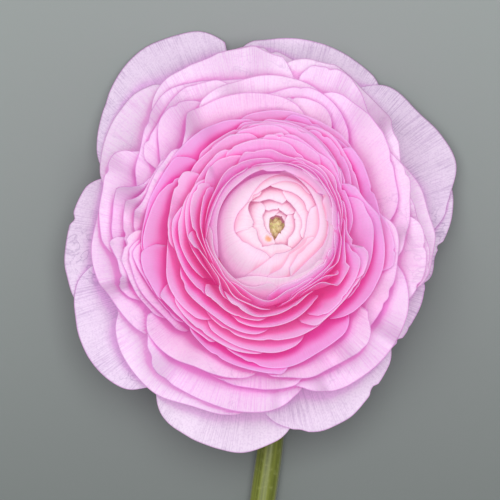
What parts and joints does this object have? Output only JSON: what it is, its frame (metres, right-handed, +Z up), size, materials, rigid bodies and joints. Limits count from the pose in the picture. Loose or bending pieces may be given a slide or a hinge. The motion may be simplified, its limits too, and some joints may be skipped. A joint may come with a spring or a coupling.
{
  "type": "ranunculus flower",
  "caption": "Pink double ranunculus bloom with its cut stem, lying on a surface with the flower facing up.",
  "frame": {"origin": "centre of the bounding box's base, on the surface that the flower lies on", "axes": "+Y from the stem's cut end towards the bloom, +Z up, out of the bloom's face, +X to the right when the face is looked at with the stem below it"},
  "size_m": [0.0927, 0.1975, 0.0502],
  "materials": {
    "heart_petal": "soft satin petal, cream pink",
    "middle_petal": "soft satin petal, deep pink with a paler rim",
    "outer_petal": "soft satin petal, pale lilac pink with fine veins",
    "guard_petal": "papery petal, lilac grey with fine veins",
    "carpel": "matte plant tissue, yellow green",
    "stem_green": "slightly waxy plant tissue, olive green with fine down"
  },
  "bodies": {
    "root": {"heart_petals": "heart_petal", "middle_petals": "middle_petal", "outer_petals": "outer_petal", "guard_petals": "guard_petal", "carpels": "carpel", "stem": "stem_green"}
  },
  "joints": []
}
